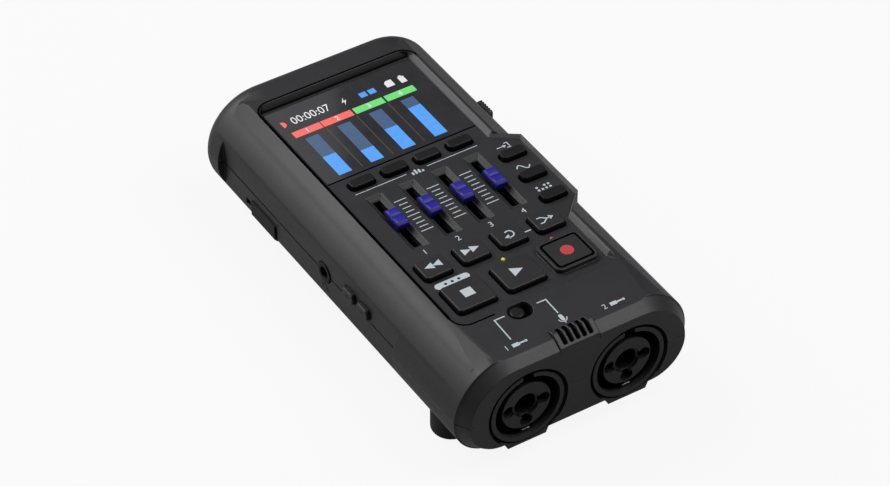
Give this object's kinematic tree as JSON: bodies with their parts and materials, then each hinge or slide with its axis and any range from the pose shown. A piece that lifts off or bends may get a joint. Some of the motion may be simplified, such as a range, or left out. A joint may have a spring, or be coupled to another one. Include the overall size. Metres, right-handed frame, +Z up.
{
  "type": "multitrack recorder",
  "caption": "Handheld multitrack recorder: rounded case with a sunken panel of faders and keys, a small colour display, and combination input jacks in its front face.",
  "frame": {"origin": "middle of the footprint, on the table plane under the feet", "axes": "+X to the right, +Y from the front jacks to the rear, +Z up through the control panel"},
  "size_m": [0.0712, 0.134, 0.0353],
  "materials": {
    "case_plastic": "fine textured charcoal moulding",
    "key_plastic": "smooth satin, slightly darker than the case",
    "fader_blue": "satin violet blue",
    "screen_glass": "polished dark window",
    "dark_metal": "dark painted frame",
    "board_green": "solder mask",
    "switch_grey": "moulded switch body",
    "light_pipe": "clear light pipe",
    "jack_plastic": "black moulded connector",
    "bare_metal": "plain plated metal",
    "contact_brass": "plated contact",
    "cell_wrap": "wrapped cell, unmarked",
    "foot_rubber": "matt rubber",
    "cover_rubber": "matt flexible cover",
    "screw_steel": "dark plated screw"
  },
  "bodies": {
    "case": {"upper_case": "case_plastic", "lower_case": "case_plastic", "display_lens": "screen_glass", "lcd_module": "dark_metal", "main_board": "board_green", "key_board": "board_green", "key_switches": "switch_grey", "fader_pots": "switch_grey", "light_pipes": "light_pipe", "source_switch": "jack_plastic", "mic_grille": "case_plastic", "mic_capsule": "bare_metal", "jack_housing_left": "jack_plastic", "jack_housing_right": "jack_plastic", "jack_insert_left": "jack_plastic", "jack_insert_right": "jack_plastic", "pin_contacts": "contact_brass", "headphone_jack": "jack_plastic", "power_switch": "switch_grey", "usb_port": "bare_metal", "card_slot": "bare_metal", "cells": "cell_wrap", "cell_contacts": "bare_metal", "feet": "foot_rubber", "case_screws": "screw_steel"},
    "fader_1": {"fader_lever_1": "bare_metal", "fader_cap_1": "fader_blue"},
    "fader_2": {"fader_lever_2": "bare_metal", "fader_cap_2": "fader_blue"},
    "fader_3": {"fader_lever_3": "bare_metal", "fader_cap_3": "fader_blue"},
    "fader_4": {"fader_lever_4": "bare_metal", "fader_cap_4": "fader_blue"},
    "track_key_1": {"track_key_1": "key_plastic"},
    "track_key_2": {"track_key_2": "key_plastic"},
    "track_key_3": {"track_key_3": "key_plastic"},
    "track_key_4": {"track_key_4": "key_plastic"},
    "menu_key_1": {"menu_key_1": "key_plastic"},
    "menu_key_2": {"menu_key_2": "key_plastic"},
    "menu_key_3": {"menu_key_3": "key_plastic"},
    "rewind_key": {"rewind_key": "key_plastic"},
    "forward_key": {"forward_key": "key_plastic"},
    "undo_key": {"undo_key": "key_plastic"},
    "bounce_key": {"bounce_key": "key_plastic"},
    "stop_key": {"stop_key": "key_plastic"},
    "play_key": {"play_key": "key_plastic"},
    "record_key": {"record_key": "key_plastic"},
    "volume_up_key": {"volume_up_key": "key_plastic"},
    "volume_down_key": {"volume_down_key": "key_plastic"},
    "source_knob": {"source_knob": "key_plastic"},
    "power_knob": {"power_knob": "key_plastic"},
    "battery_door": {"battery_door": "case_plastic"},
    "card_cover": {"card_cover": "cover_rubber"}
  },
  "joints": [
    {"name": "fader_1_slide", "type": "slide", "parent": "case", "child": "fader_1", "axis": [0, 1, 0], "range_m": [-0.0075, 0.0075]},
    {"name": "fader_2_slide", "type": "slide", "parent": "case", "child": "fader_2", "axis": [0, 1, 0], "range_m": [-0.0075, 0.0075]},
    {"name": "fader_3_slide", "type": "slide", "parent": "case", "child": "fader_3", "axis": [0, 1, 0], "range_m": [-0.0075, 0.0075]},
    {"name": "fader_4_slide", "type": "slide", "parent": "case", "child": "fader_4", "axis": [0, 1, 0], "range_m": [-0.0075, 0.0075]},
    {"name": "track_key_1_press", "type": "slide", "parent": "case", "child": "track_key_1", "axis": [0, 0, -1], "range_m": [0, 0.0005], "stiffness_N_per_m": 500, "springref_m": -0.0003},
    {"name": "track_key_2_press", "type": "slide", "parent": "case", "child": "track_key_2", "axis": [0, 0, -1], "range_m": [0, 0.0005], "stiffness_N_per_m": 500, "springref_m": -0.0003},
    {"name": "track_key_3_press", "type": "slide", "parent": "case", "child": "track_key_3", "axis": [0, 0, -1], "range_m": [0, 0.0005], "stiffness_N_per_m": 500, "springref_m": -0.0003},
    {"name": "track_key_4_press", "type": "slide", "parent": "case", "child": "track_key_4", "axis": [0, 0, -1], "range_m": [0, 0.0005], "stiffness_N_per_m": 500, "springref_m": -0.0003},
    {"name": "menu_key_1_press", "type": "slide", "parent": "case", "child": "menu_key_1", "axis": [0, 0, -1], "range_m": [0, 0.0005], "stiffness_N_per_m": 500, "springref_m": -0.0003},
    {"name": "menu_key_2_press", "type": "slide", "parent": "case", "child": "menu_key_2", "axis": [0, 0, -1], "range_m": [0, 0.0005], "stiffness_N_per_m": 500, "springref_m": -0.0003},
    {"name": "menu_key_3_press", "type": "slide", "parent": "case", "child": "menu_key_3", "axis": [0, 0, -1], "range_m": [0, 0.0005], "stiffness_N_per_m": 500, "springref_m": -0.0003},
    {"name": "rewind_key_press", "type": "slide", "parent": "case", "child": "rewind_key", "axis": [0, 0, -1], "range_m": [0, 0.0005], "stiffness_N_per_m": 500, "springref_m": -0.0003},
    {"name": "forward_key_press", "type": "slide", "parent": "case", "child": "forward_key", "axis": [0, 0, -1], "range_m": [0, 0.0005], "stiffness_N_per_m": 500, "springref_m": -0.0003},
    {"name": "undo_key_press", "type": "slide", "parent": "case", "child": "undo_key", "axis": [0, 0, -1], "range_m": [0, 0.0005], "stiffness_N_per_m": 500, "springref_m": -0.0003},
    {"name": "bounce_key_press", "type": "slide", "parent": "case", "child": "bounce_key", "axis": [0, 0, -1], "range_m": [0, 0.0005], "stiffness_N_per_m": 500, "springref_m": -0.0003},
    {"name": "stop_key_press", "type": "slide", "parent": "case", "child": "stop_key", "axis": [0, 0, -1], "range_m": [0, 0.0005], "stiffness_N_per_m": 500, "springref_m": -0.0003},
    {"name": "play_key_press", "type": "slide", "parent": "case", "child": "play_key", "axis": [0, 0, -1], "range_m": [0, 0.0005], "stiffness_N_per_m": 500, "springref_m": -0.0003},
    {"name": "record_key_press", "type": "slide", "parent": "case", "child": "record_key", "axis": [0, 0, -1], "range_m": [0, 0.0005], "stiffness_N_per_m": 500, "springref_m": -0.0003},
    {"name": "volume_up_key_press", "type": "slide", "parent": "case", "child": "volume_up_key", "axis": [1, 0, 0], "range_m": [0, 0.0005], "stiffness_N_per_m": 500, "springref_m": -0.0003},
    {"name": "volume_down_key_press", "type": "slide", "parent": "case", "child": "volume_down_key", "axis": [1, 0, 0], "range_m": [0, 0.0005], "stiffness_N_per_m": 500, "springref_m": -0.0003},
    {"name": "source_slide", "type": "slide", "parent": "case", "child": "source_knob", "axis": [1, 0, 0], "range_m": [0, 0.0018]},
    {"name": "power_slide", "type": "slide", "parent": "case", "child": "power_knob", "axis": [0, 1, 0], "range_m": [-0.002, 0.002]},
    {"name": "battery_door_hinge", "type": "hinge", "parent": "case", "child": "battery_door", "pos_m": [0, -0.0278, 0.0057], "axis": [-1, 0, 0], "range_deg": [0, 70]},
    {"name": "card_cover_hinge", "type": "hinge", "parent": "case", "child": "card_cover", "pos_m": [-0.033, 0.0354, 0.0107], "axis": [0, -1, 0], "range_deg": [0, 95]}
  ]
}
